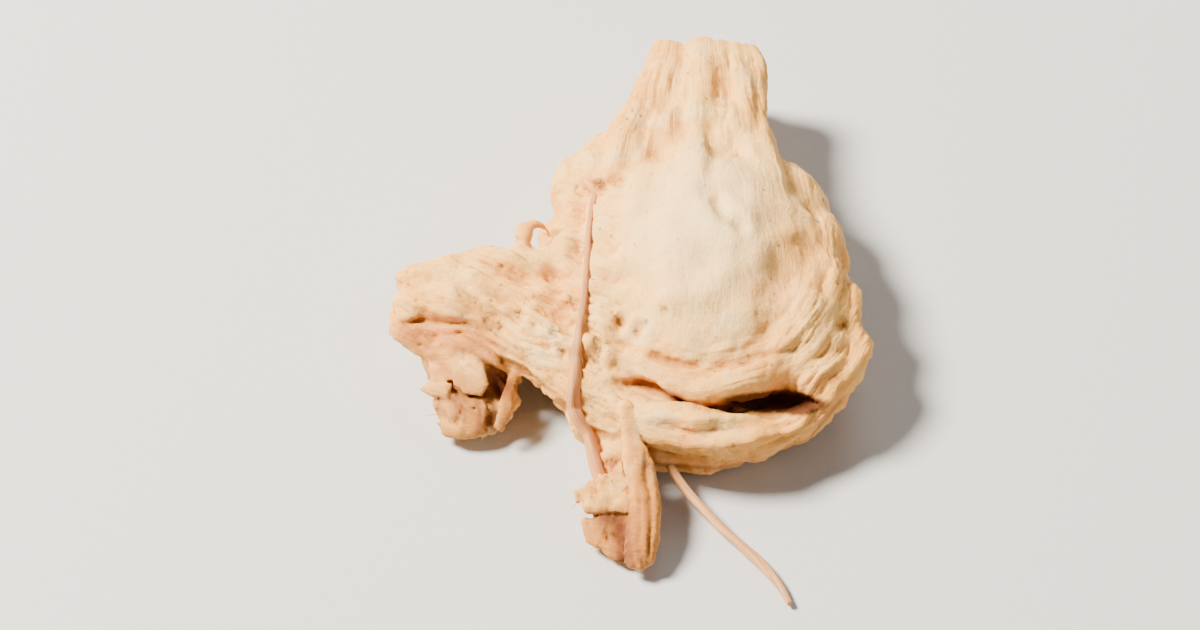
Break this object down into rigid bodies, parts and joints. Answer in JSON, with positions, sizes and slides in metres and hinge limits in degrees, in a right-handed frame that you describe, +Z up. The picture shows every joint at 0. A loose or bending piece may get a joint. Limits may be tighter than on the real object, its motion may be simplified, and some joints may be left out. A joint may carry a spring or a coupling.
{
  "type": "dried ginger root",
  "caption": "Chunk of dried, peeled ginger rhizome: a fan-shaped knob with a cut neck, a broken side arm, a torn stub, shrunken folds and wiry rootlets.",
  "frame": {"origin": "middle of the piece's box in plan, on the surface that its flat underside rests on", "axes": "+Z up from the flat underside, +Y towards the knife-cut neck, -X towards the broken side arm"},
  "size_m": [0.0204, 0.028, 0.0071],
  "materials": {
    "dried_flesh": "matt, dry and fibrous, pale cream with tan and pinkish-brown creases"
  },
  "bodies": {
    "root": {"ginger_rhizome": "dried_flesh"}
  },
  "joints": []
}
